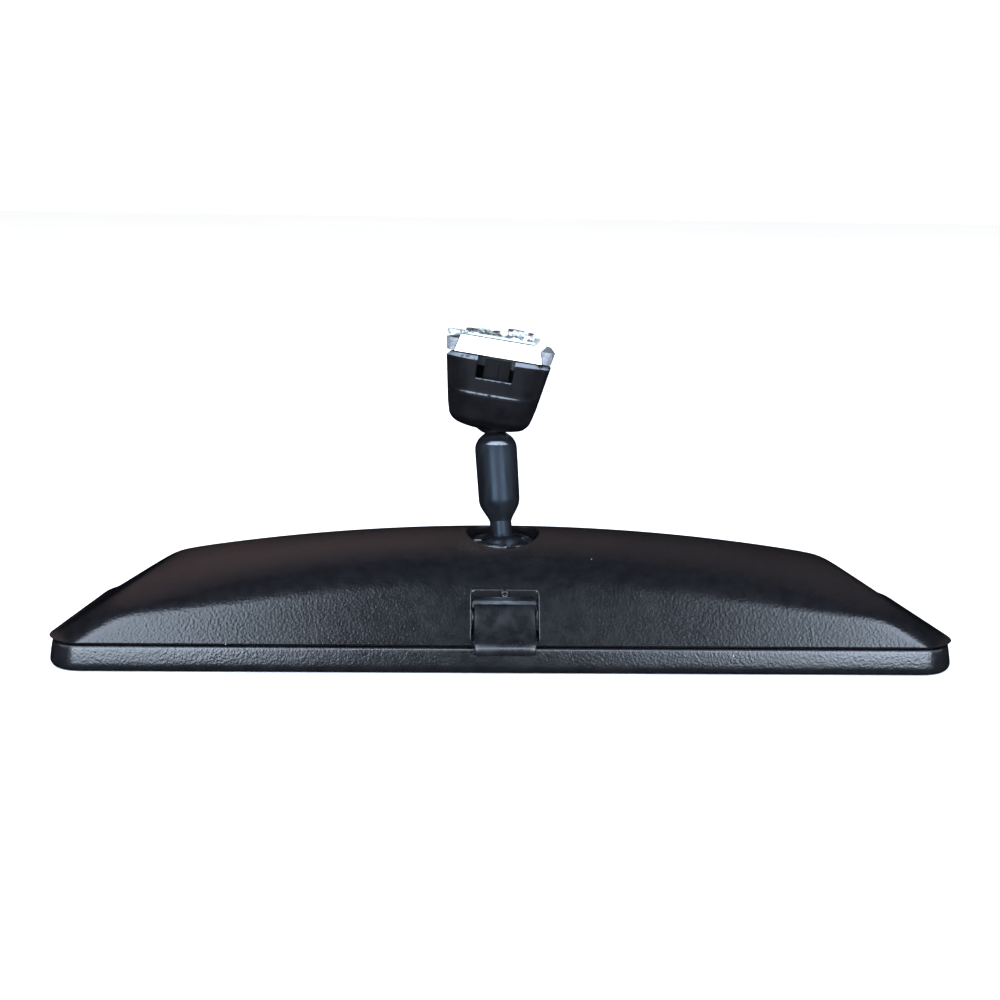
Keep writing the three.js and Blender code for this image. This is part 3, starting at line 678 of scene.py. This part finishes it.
def build_shell():
    """Mount shell: inside and outside walls as rings, then the notch cut in its front."""
    count = 420
    angles = np.linspace(0, 2 * math.pi, count, endpoint=False)
    points = []
    for radius, z in ((8.4, 4.0), (8.4, -3.7), (8.55, -4.3), (8.9, -4.55), (9.3, -4.6)):
        points.append(round_points(radius, angles, z))
    for z, inset in ((-4.6, 3.1), (-4.5, 2.3), (-4.2, 1.5), (-3.7, 0.85), (-3.1, 0.4),
                     (-2.5, 0.12)):
        points.append(shell_ring(z, inset, angles))
    for z in np.arange(-2.0, 15.1, 0.3):
        points.append(shell_ring(z, 0.0, angles))
    for z, inset in ((15.5, 0.5), (15.9, 0.95), (16.2, 1.3), (16.3, 1.5), (16.1, 1.7),
                     (12.0, 1.8), (4.0, 1.9)):
        points.append(shell_ring(z, inset, angles))
    rings = len(points)
    points = np.concatenate(points)
    low = np.clip((2.0 - points[:, 2]) / 6.6, 0, 1)
    points[:, 2] += BOTTOM_BOWL * low * np.abs(points[:, 0] / 11.0) ** 2.4
    shell = mesh_object("mount_housing", to_row(points, UPPER_BALL, MOUNT_AXES),
                        section_faces(rings, count, closed=True))
    fix_normals(shell)
    cutter = mesh_object("notch_cutter", *notch_block())
    modifier = shell.modifiers.new("notch", "BOOLEAN")
    modifier.operation = "DIFFERENCE"
    modifier.solver = "EXACT"
    modifier.object = cutter
    remesh = shell.modifiers.new("even", "REMESH")
    remesh.mode = "VOXEL"
    remesh.voxel_size = 0.26 * MM
    remesh.adaptivity = 0.0
    smooth = shell.modifiers.new("smooth", "SMOOTH")
    smooth.factor = 0.5
    smooth.iterations = 2
    apply_modifiers(shell)
    bpy.data.objects.remove(cutter)
    soften(shell, 75)
    return shell


def notch_block():
    half, low = NOTCH_HALF, NOTCH_LOW
    corners = [(x, y, z) for x in (-half, half) for y in (-25, MOUNT_FRONT + 3.6)
               for z in (low, 40)]
    faces = [(0, 1, 3, 2), (4, 6, 7, 5), (0, 4, 5, 1), (2, 3, 7, 6), (0, 2, 6, 4), (1, 5, 7, 3)]
    return to_row(corners, UPPER_BALL, MOUNT_AXES), faces


# ------------------------------------------------------------------ broken adhesive and glass

def build_shard(name, centre, size, turn, seed, rough=0.28):
    """A jagged flake: a stretched, cracked icosphere with its own seed."""
    random = np.random.default_rng(seed)
    bm = bmesh.new()
    bmesh.ops.create_icosphere(bm, subdivisions=2, radius=1.0)
    for vertex in bm.verts:
        vertex.co *= 1 + rough * float(random.uniform(-1, 1))
        vertex.co.z = max(min(vertex.co.z, 0.62), -0.62)
    bmesh.ops.dissolve_limit(bm, angle_limit=math.radians(14), verts=bm.verts, edges=bm.edges)
    cosine, sine = math.cos(math.radians(turn)), math.sin(math.radians(turn))
    points = []
    for vertex in bm.verts:
        x, y, z = (vertex.co[i] * size[i] / 2 for i in range(3))
        points.append((centre[0] + x * cosine - y * sine, centre[1] + x * sine + y * cosine,
                       centre[2] + z))
    bm.verts.index_update()
    faces = [[v.index for v in face.verts] for face in bm.faces]
    bm.free()
    made = mesh_object(name, to_row(points, UPPER_BALL, MOUNT_AXES), faces)
    fix_normals(made)
    bevel(made, 0.08, segments=1, angle=20)
    apply_modifiers(made)
    soften(made, 25)
    return made


# Centre, size (mm, in the mount's frame), turn (degrees) and finish of each flake.
SHARDS = [
    ((-13.3, -10.5, 21.5), (5.6, 5.0, 2.9), 12, "glass"),
    ((-10.8, -12.2, 22.1), (2.6, 2.2, 1.6), 50, "glass"),
    ((-8.4, -9.5, 22.6), (4.6, 3.6, 2.2), -8, "dark"),
    ((-8.2, -11.8, 22.1), (3.6, 1.8, 1.2), -8, "silver"),
    ((-4.6, -10.5, 22.2), (3.2, 2.6, 1.3), 30, "dark"),
    ((-4.4, -12.4, 21.8), (2.6, 1.4, 0.8), 10, "silver"),
    ((-1.6, -9.0, 22.3), (3.0, 2.6, 1.2), -20, "dark"),
    ((1.2, -7.0, 23.0), (4.4, 4.2, 2.6), 18, "silver"),
    ((4.6, -6.0, 23.4), (4.6, 4.4, 3.0), -24, "silver"),
    ((7.4, -7.5, 22.9), (4.0, 3.6, 2.4), 40, "silver"),
    ((3.0, -4.0, 23.9), (4.6, 3.4, 1.8), 4, "dark"),
    ((6.6, -4.5, 23.7), (3.8, 3.0, 1.6), -12, "dark"),
    ((4.8, -9.8, 22.2), (5.4, 2.0, 1.4), 4, "silver"),
    ((2.2, -9.6, 22.4), (2.4, 1.6, 1.2), 30, "dark"),
    ((7.8, -10.0, 22.2), (2.4, 1.6, 1.0), -30, "dark"),
    ((-6.5, -2.0, 22.5), (4.2, 3.4, 1.3), 65, "glass"),
    ((-1.5, 3.5, 22.5), (5.0, 3.6, 1.2), 20, "dark"),
    ((5.4, 4.0, 22.5), (3.8, 3.2, 1.3), -40, "silver"),
    ((-6.8, 5.6, 22.4), (4.4, 2.8, 1.0), 10, "glass"),
]


# ------------------------------------------------------------------ materials

class Look:
    """One procedural material: a principled shader fed in object coordinates."""

    def __init__(self, name, roughness=0.5, metallic=0.0, specular=0.5):
        self.material = bpy.data.materials.new(name)
        self.material.use_nodes = True
        self.tree = self.material.node_tree
        self.shader = self.tree.nodes["Principled BSDF"]
        self.shader.inputs["Roughness"].default_value = roughness
        self.shader.inputs["Metallic"].default_value = metallic
        self.shader.inputs["Specular IOR Level"].default_value = specular
        self.place = self.tree.nodes.new("ShaderNodeTexCoord")

    def add(self, kind, **settings):
        made = self.tree.nodes.new(kind)
        for key, value in settings.items():
            setattr(made, key, value)
        return made

    def link(self, output, target):
        self.tree.links.new(output, target)

    def noise(self, scale, detail=4.0, roughness=0.55, stretch=None):
        made = self.add("ShaderNodeTexNoise")
        made.inputs["Scale"].default_value = scale
        made.inputs["Detail"].default_value = detail
        made.inputs["Roughness"].default_value = roughness
        self.link(self.stretched(stretch), made.inputs["Vector"])
        return made.outputs["Fac"]

    def cells(self, scale, feature="F1", output="Distance", stretch=None):
        made = self.add("ShaderNodeTexVoronoi", feature=feature)
        made.inputs["Scale"].default_value = scale
        self.link(self.stretched(stretch), made.inputs["Vector"])
        return made.outputs[output]

    def stretched(self, stretch):
        if stretch is None:
            return self.place.outputs["Object"]
        made = self.add("ShaderNodeMapping")
        made.inputs["Scale"].default_value = stretch
        self.link(self.place.outputs["Object"], made.inputs["Vector"])
        return made.outputs["Vector"]

    def between(self, value, low, high, to_low=0.0, to_high=1.0, smooth=True):
        made = self.add("ShaderNodeMapRange")
        made.interpolation_type = "SMOOTHSTEP" if smooth else "LINEAR"
        for key, number in (("From Min", low), ("From Max", high), ("To Min", to_low),
                            ("To Max", to_high)):
            made.inputs[key].default_value = number
        self.link(value, made.inputs["Value"])
        return made.outputs["Result"]

    def math(self, operation, a, b):
        made = self.add("ShaderNodeMath", operation=operation)
        for socket, value in zip(made.inputs, (a, b)):
            if isinstance(value, (int, float)):
                socket.default_value = value
            else:
                self.link(value, socket)
        return made.outputs["Value"]

    def blend(self, factor, a, b):
        made = self.add("ShaderNodeMix", data_type="RGBA")
        self.link(factor, made.inputs["Factor"])
        for socket, value in ((made.inputs[6], a), (made.inputs[7], b)):
            if isinstance(value, tuple):
                socket.default_value = (*value, 1.0)
            else:
                self.link(value, socket)
        return made.outputs[2]

    def axis(self, letter, output="Object"):
        made = self.add("ShaderNodeSeparateXYZ")
        self.link(self.place.outputs[output], made.inputs["Vector"])
        return made.outputs[letter]

    def bump(self, height, depth, strength=1.0):
        made = self.add("ShaderNodeBump")
        made.inputs["Distance"].default_value = depth * MM
        made.inputs["Strength"].default_value = strength
        self.link(height, made.inputs["Height"])
        self.link(made.outputs["Normal"], self.shader.inputs["Normal"])

    def colour(self, value):
        if isinstance(value, tuple):
            self.shader.inputs["Base Color"].default_value = (*value, 1.0)
        else:
            self.link(value, self.shader.inputs["Base Color"])

    def rough(self, value):
        self.link(value, self.shader.inputs["Roughness"])


PER_METRE = 1000.0  # texture scale of one feature per millimetre


def grained_plastic(name, dust_and_reflection):
    """Moulded black plastic: fine leather grain, handling smudges, and on what faces up a dust film
    with a painted warm reflection.
    """
    look = Look(name, specular=0.5)
    wrinkle = look.noise(1.35 * PER_METRE, detail=3.0, roughness=0.6)
    pores = look.cells(1.5 * PER_METRE, feature="SMOOTH_F1")
    grain = look.math("ADD", look.math("MULTIPLY", wrinkle, 0.75), look.math("MULTIPLY", pores, 0.5))
    smudge = look.noise(0.035 * PER_METRE, detail=5.0)
    patch = look.noise(0.3 * PER_METRE, detail=3.0)
    up = look.axis("Z", "Normal")
    base = look.blend(look.between(patch, 0.3, 0.7), (0.0035, 0.0035, 0.0042),
                      (0.005, 0.005, 0.006))
    # Painted reflection with dust: a warm film on up-facing faces, lighter towards the left end.
    if dust_and_reflection:
        side = look.between(look.axis("X"), -0.11, 0.06)
        film = look.blend(side, (0.0225, 0.0152, 0.0138), (0.0125, 0.0098, 0.0095))
        dust_and_reflection_mask = look.between(up, 0.86, 0.985)
        dust_and_reflection_mask = look.math("MULTIPLY", dust_and_reflection_mask, look.between(smudge, 0.2, 0.7, 0.7, 1.0))
        base = look.blend(dust_and_reflection_mask, base, film)
    speck_shape = look.cells(0.16 * PER_METRE)
    speck_pick = look.add("ShaderNodeTexVoronoi")
    speck_pick.inputs["Scale"].default_value = 0.16 * PER_METRE
    look.link(look.place.outputs["Object"], speck_pick.inputs["Vector"])
    channel = look.add("ShaderNodeSeparateColor")
    look.link(speck_pick.outputs["Color"], channel.inputs["Color"])
    speck = look.math("MULTIPLY", look.between(speck_shape, 0.045, 0.02),
                      look.between(channel.outputs["Red"], 0.9, 0.92))
    look.colour(look.blend(speck, base, (0.38, 0.37, 0.36)))
    look.rough(look.between(look.math("ADD", look.math("MULTIPLY", smudge, 0.7),
                                      look.math("MULTIPLY", patch, 0.3)),
                            0.3, 0.7, 0.17, 0.25))
    look.bump(grain, 0.085, 0.8)
    return look.material


def satin_black(name, roughness, pale_marks, specular=0.55, tint=(1.0, 1.0, 1.0), highlight_band=None):
    """Smooth painted or polished black with fine wipe marks and a few pale scuffs; raised on the
    collar, the pale marks also stand in as a painted highlight on its edges.

    A band, from one height to another, gets a painted highlight on the side that faces the front."""
    look = Look(name, specular=specular)
    look.shader.inputs["Specular Tint"].default_value = (*tint, 1.0)
    wipe = look.noise(0.25 * PER_METRE, detail=5.0, stretch=(1.0, 1.0, 0.35))
    fine = look.noise(2.4 * PER_METRE, detail=2.0)
    base = look.blend(look.between(wipe, 0.35, 0.7), (0.004, 0.004, 0.005), (0.0065, 0.007, 0.0085))
    mark = look.noise(0.9 * PER_METRE, detail=6.0, roughness=0.7, stretch=(0.5, 1.0, 2.2))
    wear_and_highlight = look.between(mark, 0.72 - pale_marks, 0.8 - pale_marks)
    # Painted highlight: a pale band between two heights, on the side that faces the front.
    if highlight_band:
        low, high = highlight_band
        height = look.axis("Z")
        edge = 0.0003
        painted_highlight = look.math("MULTIPLY", look.between(height, low, low + edge),
                           look.between(height, high, high - edge))
        facing = look.between(look.axis("Y", "Normal"), -0.72, -0.86)
        painted_highlight = look.math("MULTIPLY", look.math("MULTIPLY", painted_highlight, facing),
                           look.between(fine, 0.2, 0.5))
        wear_and_highlight = look.math("MAXIMUM", wear_and_highlight, painted_highlight)
    look.colour(look.blend(wear_and_highlight, base, (0.19, 0.2, 0.225)))
    look.rough(look.between(wipe, 0.3, 0.7, roughness * 0.8, roughness * 1.25))
    look.bump(fine, 0.03, 0.5)
    return look.material


def mount_black(name):
    """Textured black moulding of the mount, with a painted highlight along its upper ledge."""
    look = Look(name, specular=0.06)
    grain = look.noise(1.9 * PER_METRE, detail=3.0)
    patch = look.noise(0.22 * PER_METRE, detail=5.0)
    base = look.blend(look.between(patch, 0.3, 0.7), (0.0022, 0.0022, 0.0027),
                      (0.0038, 0.0036, 0.0042))
    up = look.axis("Z", "Normal")
    # Painted highlight: a pale bluish colour on faces tilted upwards, such as the upper ledge,
    # broken up by noise.
    painted_highlight = look.math("MULTIPLY", look.between(up, 0.45, 0.75),
                       look.between(look.noise(0.5 * PER_METRE, detail=6.0), 0.32, 0.5))
    look.colour(look.blend(painted_highlight, base, (0.11, 0.122, 0.14)))
    look.rough(look.between(patch, 0.3, 0.7, 0.4, 0.55))
    look.bump(grain, 0.05, 0.7)
    return look.material


def scuffed_metal(name, dark, light, roughness, scale=1.0, metallic=0.75, bump=0.04,
                  deck_level=None):
    """Cast or rolled metal: cloudy tone, fine scratches, small pits.

    Below deck_level, measured up the mount, the casting is painted black."""
    look = Look(name, metallic=metallic)
    cloud = look.noise(0.35 * PER_METRE * scale, detail=6.0, roughness=0.65)
    scratch = look.noise(1.2 * PER_METRE * scale, detail=5.0, roughness=0.7,
                         stretch=(0.25, 1.6, 2.4))
    pits = look.cells(0.9 * PER_METRE * scale)
    tone = look.math("ADD", look.math("MULTIPLY", cloud, 0.55), look.math("MULTIPLY", scratch, 0.45))
    colour = look.blend(look.between(tone, 0.36, 0.64), dark, light)
    pit = look.between(pits, 0.1, 0.04)
    colour = look.blend(pit, colour, tuple(c * 0.35 for c in dark))
    if deck_level is not None:
        along = look.add("ShaderNodeVectorMath", operation="DOT_PRODUCT")
        look.link(look.place.outputs["Object"], along.inputs[0])
        along.inputs[1].default_value = tuple(MOUNT_AXES[2])
        level = float(UPPER_BALL @ MOUNT_AXES[2] + deck_level) * MM
        above = look.between(along.outputs["Value"], level, level + 0.1 * MM, smooth=False)
        colour = look.blend(above, tuple(c * 0.06 for c in dark), colour)
    look.colour(colour)
    look.rough(look.between(scratch, 0.3, 0.7, roughness * 0.8, roughness * 1.3))
    look.bump(tone, bump, 0.6)
    return look.material


def nylon_like(name, colour, roughness):
    look = Look(name, specular=0.4)
    cloud = look.noise(0.4 * PER_METRE, detail=4.0)
    look.colour(look.blend(look.between(cloud, 0.3, 0.7), tuple(c * 0.82 for c in colour), colour))
    look.rough(look.between(cloud, 0.3, 0.7, roughness * 0.85, roughness * 1.15))
    look.bump(look.noise(1.6 * PER_METRE), 0.03, 0.5)
    return look.material


def mirror_glass(name):
    look = Look(name, roughness=0.02, metallic=1.0)
    haze = look.noise(0.03 * PER_METRE, detail=5.0)
    look.colour(look.blend(look.between(haze, 0.3, 0.7), (0.8, 0.83, 0.85), (0.86, 0.89, 0.9)))
    look.rough(look.between(look.noise(0.12 * PER_METRE, detail=6.0), 0.45, 0.75, 0.012, 0.05))
    return look.material


def glassy_flake(name, dark, light, roughness, metallic=0.0):
    look = Look(name, metallic=metallic, specular=0.7)
    cloud = look.noise(0.9 * PER_METRE, detail=6.0, roughness=0.7)
    look.colour(look.blend(look.between(cloud, 0.35, 0.6), dark, light))
    look.rough(look.between(cloud, 0.3, 0.7, roughness * 0.6, roughness * 1.5))
    look.bump(look.noise(2.2 * PER_METRE, detail=4.0), 0.12, 0.8)
    return look.material


# ------------------------------------------------------------------ stage, lights, camera

FLOOR_HALF = 4.0  # metres
FLOOR_LINES = 9


def build_floor():
    size, rows = FLOOR_HALF, FLOOR_LINES
    points = [(-size + 2 * size * i / (rows - 1), -size + 2 * size * j / (rows - 1), 0.0)
              for j in range(rows) for i in range(rows)]
    faces = [(j * rows + i, j * rows + i + 1, (j + 1) * rows + i + 1, (j + 1) * rows + i)
             for j in range(rows - 1) for i in range(rows - 1)]
    floor = mesh_object("floor", points, faces)
    look = Look("pale_floor", roughness=0.9, specular=0.2)
    tone = look.noise(2.0, detail=2.0)
    look.colour(look.blend(look.between(tone, 0.3, 0.7), (0.97, 0.97, 0.97), (0.985, 0.985, 0.985)))
    floor.data.materials.append(look.material)
    floor.visible_glossy = False


def aim(made, target):
    direction = Vector(target) - made.location
    made.rotation_euler = direction.to_track_quat("-Z", "Y").to_euler()


def area_light(name, place, target, width, height, watts, colour):
    data = bpy.data.lights.new(name, "AREA")
    data.shape = "RECTANGLE"
    data.size = width
    data.size_y = height
    data.energy = watts
    data.color = colour
    made = bpy.data.objects.new(name, data)
    bpy.context.scene.collection.objects.link(made)
    made.location = place
    aim(made, target)
    return made


WORLD_STRENGTH = 1.03
COOL = (0.71, 0.83, 1.0)
# Name, place, what the panel faces (m), width and height (m), watts.
PANELS = [
    ("high_left", (-0.60, -0.62, 1.05), (-0.60, 0.0, 0.03), 0.66, 0.75, 15),
    ("low_left", (-0.55, -1.1, 0.31), (-0.55, 0.0, 0.06), 0.66, 0.62, 20),
    ("side_left", (-1.0, -0.35, 0.45), (0.0, 0.0, 0.05), 0.7, 0.6, 3),
    ("high_right", (0.73, -0.62, 1.05), (0.73, 0.0, 0.03), 0.66, 0.75, 15),
    ("low_right", (0.6, -1.1, 0.31), (0.6, 0.0, 0.06), 0.66, 0.62, 20),
    ("side_right", (1.0, -0.35, 0.45), (0.0, 0.0, 0.05), 0.7, 0.6, 3),
    ("front", (0.0, -1.1, 0.5), (0.0, 0.0, 0.08), 0.4, 0.3, 3.5),
]


def build_light():
    """White surroundings, which black plastic doesn't mirror, and cool panels, which it does."""
    world = bpy.data.worlds.new("studio")
    world.use_nodes = True
    background = world.node_tree.nodes["Background"]
    background.inputs["Color"].default_value = (1.0, 1.0, 1.0, 1.0)
    background.inputs["Strength"].default_value = WORLD_STRENGTH
    bpy.context.scene.world = world
    world.cycles_visibility.glossy = False
    bpy.context.scene.view_settings.view_transform = "Standard"
    for name, place, target, width, height, watts in PANELS:
        area_light(name, place, target, width, height, watts, COOL)


CAMERA_TARGET = (-0.954, 1.7, 41.70)
CAMERA_DISTANCE = 446.94
CAMERA_ELEVATION = 12.0
CAMERA_YAW = -1.794
CAMERA_ROLL = 0.861
CAMERA_LENS = 56.07


def build_camera():
    e, yaw, roll = (math.radians(a) for a in (CAMERA_ELEVATION, CAMERA_YAW, CAMERA_ROLL))
    back = Vector((math.sin(yaw) * math.cos(e), -math.cos(yaw) * math.cos(e), math.sin(e)))
    right = Vector((math.cos(yaw), math.sin(yaw), 0.0))
    up = back.cross(right)
    rolled_right = math.cos(roll) * right + math.sin(roll) * up
    rolled_up = -math.sin(roll) * right + math.cos(roll) * up
    data = bpy.data.cameras.new("camera")
    data.lens = CAMERA_LENS
    data.sensor_width = 36.0
    data.clip_start = 0.01
    made = bpy.data.objects.new("camera", data)
    bpy.context.scene.collection.objects.link(made)
    place = Vector(CAMERA_TARGET) * MM + back * (CAMERA_DISTANCE * MM)
    matrix = Matrix((rolled_right, rolled_up, back)).transposed().to_4x4()
    matrix.translation = place
    made.matrix_world = matrix
    bpy.context.scene.camera = made


# ------------------------------------------------------------------ assembly

def dress_node(node, material, edge=0.0):
    """Gives a CAD node its material and, where wanted, softened edges (mm)."""
    node.data.materials.clear()
    node.data.materials.append(material)
    if edge:
        bevel(node, edge, segments=2, angle=40)


SHOULDER_HIGHLIGHT_BAND = (0.0571, 0.0584)  # heights of the painted highlight band on the sleeve's shoulder, metres


def main():
    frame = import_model()
    nodes = frame["nodes"]

    # The cover's up-facing faces get a dust film with a painted warm reflection.
    cover = grained_plastic("grained_cover", dust_and_reflection=True)
    rim = grained_plastic("grained_bezel", dust_and_reflection=False)
    gloss = satin_black("gloss_black", 0.3, -0.1)
    # The arm's material carries a painted highlight band on the sleeve's shoulder.
    arm = satin_black("arm_black", 0.34, -0.06, specular=0.19, tint=(0.62, 0.8, 1.0),
                      highlight_band=SHOULDER_HIGHLIGHT_BAND)
    # The collar's pale marks are partly scuffs and partly a painted highlight for the pale outlines
    # of its edges.
    ring = satin_black("collar_black", 0.35, 0.13)
    shell = mount_black("mount_moulding")
    zinc = scuffed_metal("cast_zinc", (0.26, 0.28, 0.32), (0.5, 0.53, 0.58), 0.5)
    rails = scuffed_metal("channel_zinc", (0.055, 0.058, 0.065), (0.2, 0.21, 0.23), 0.5,
                          metallic=0.3, deck_level=16.5)
    steel = scuffed_metal("turned_steel", (0.45, 0.46, 0.48), (0.62, 0.63, 0.65), 0.3, metallic=1.0)
    spring = scuffed_metal("spring_steel", (0.12, 0.13, 0.14), (0.3, 0.31, 0.33), 0.35,
                           metallic=1.0)
    button = scuffed_metal("bright_button", (0.82, 0.82, 0.82), (0.97, 0.97, 0.96), 0.45,
                           metallic=0.0, bump=0.03)
    nylon = nylon_like("nylon", (0.78, 0.76, 0.7), 0.5)
    film = nylon_like("bonding_film", (0.3, 0.34, 0.31), 0.6)
    backing = nylon_like("backing_paint", (0.2, 0.19, 0.18), 0.8)
    silvered = mirror_glass("silvered_glass")
    flakes = {
        "glass": glassy_flake("flake_glass", (0.03, 0.036, 0.036), (0.42, 0.46, 0.46), 0.25),
        "dark": glassy_flake("flake_dark", (0.006, 0.006, 0.007), (0.05, 0.05, 0.055), 0.3),
        "silver": glassy_flake("flake_silver", (0.03, 0.03, 0.035), (0.8, 0.82, 0.84), 0.25, 0.4),
    }

    show(build_housing(), "head", "housing_plastic", cover, "rear_housing")
    show(build_stop_stub(), "head", "housing_plastic", gloss)
    show(build_bezel(), "head", "bezel_plastic", rim, "bezel_frame")
    show(build_lever(), "lever", "lever_plastic", gloss, "day_night_lever")
    show(build_collar(), "carrier", "collar_black", ring, "ball_collar")
    show(build_lower_ball(), "ball_low", "arm_paint", arm, "lower_ball")
    show(build_neck(), "neck", "arm_paint", arm, "lower_neck")
    show(build_sleeve(), "arm", "arm_paint", arm, "arm_sleeve")
    show(build_upper_ball(), "ball_high", "arm_paint", arm, "upper_ball")
    show(build_shell(), "mount", "mount_plastic", shell, "mount_shell")
    for number, (centre, size, turn, finish) in enumerate(SHARDS):
        flake = build_shard(f"flake_{number:02d}", centre, size, turn, 40 + number)
        show(flake, "mount", "adhesive", flakes[finish])

    dress_node(nodes["prism_glass"], silvered, 0.25)
    dress_node(nodes["glass_backing"], backing)
    dress_node(nodes["toggle_base_plate"], zinc, 0.15)
    dress_node(nodes["lever_pivot_pin"], steel, 0.15)
    dress_node(nodes["bracket_hinge_pin"], steel, 0.15)
    dress_node(nodes["detent_spring"], spring, 0.08)
    dress_node(nodes["socket_carrier"], zinc, 0.2)
    dress_node(nodes["lower_ball_seat"], nylon, 0.1)
    dress_node(nodes["lower_seat_spring"], spring, 0.08)
    for number in range(1, 5):
        dress_node(nodes[f"base_screw_{number}"], steel, 0.1)
    dress_node(nodes["upper_ball_seat"], nylon, 0.1)
    dress_node(nodes["upper_seat_spring"], spring, 0.08)
    dress_node(nodes["mount_channel"], rails, 0.3)
    # Painted shade: the steel locking spring, seen through the notch, takes the mount's black
    # moulding so the notch's inside reads dark.
    dress_node(nodes["locking_spring"], shell, 0.08)
    dress_node(nodes["windscreen_button"], button, 0.3)
    dress_node(nodes["bonding_film"], film, 0.1)

    build_floor()
    build_light()
    build_camera()


main()
